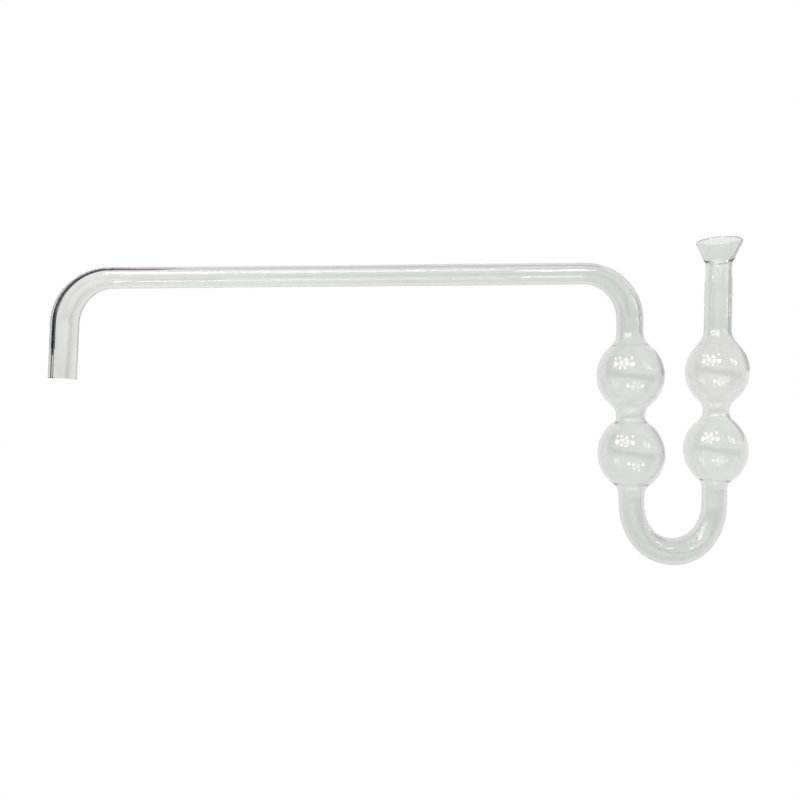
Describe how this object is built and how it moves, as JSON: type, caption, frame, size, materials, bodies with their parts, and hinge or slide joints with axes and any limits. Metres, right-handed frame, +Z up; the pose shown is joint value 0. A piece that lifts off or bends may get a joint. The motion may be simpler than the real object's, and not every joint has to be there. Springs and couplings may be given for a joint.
{
  "type": "liquid-seal safety tube",
  "caption": "Bent glass gas line: a short inlet leg, a long side arm, then a U trap with two blown bulbs in each leg and a small flared mouth.",
  "frame": {"origin": "centre of the inlet leg's open end, on the plane of the bends", "axes": "+X along the level arm, from the inlet to the bulbs; +Z up, towards the mouth; Y = 0 is the plane that holds the whole centre line"},
  "size_m": [0.2926, 0.027, 0.136],
  "materials": {
    "clear_glass": "clear colourless borosilicate, flame-worked, smooth and glossy all over"
  },
  "bodies": {
    "root": {"inlet_leg": "clear_glass", "inlet_bend": "clear_glass", "long_arm": "clear_glass", "drop_bend": "clear_glass", "drop_tube": "clear_glass", "bulb_1": "clear_glass", "inner_neck": "clear_glass", "bulb_2": "clear_glass", "inner_u_leg": "clear_glass", "u_bend": "clear_glass", "outer_u_leg": "clear_glass", "bulb_3": "clear_glass", "outer_neck": "clear_glass", "bulb_4": "clear_glass", "mouth_tube": "clear_glass", "mouth_collar": "clear_glass", "mouth_flare": "clear_glass"}
  },
  "joints": []
}
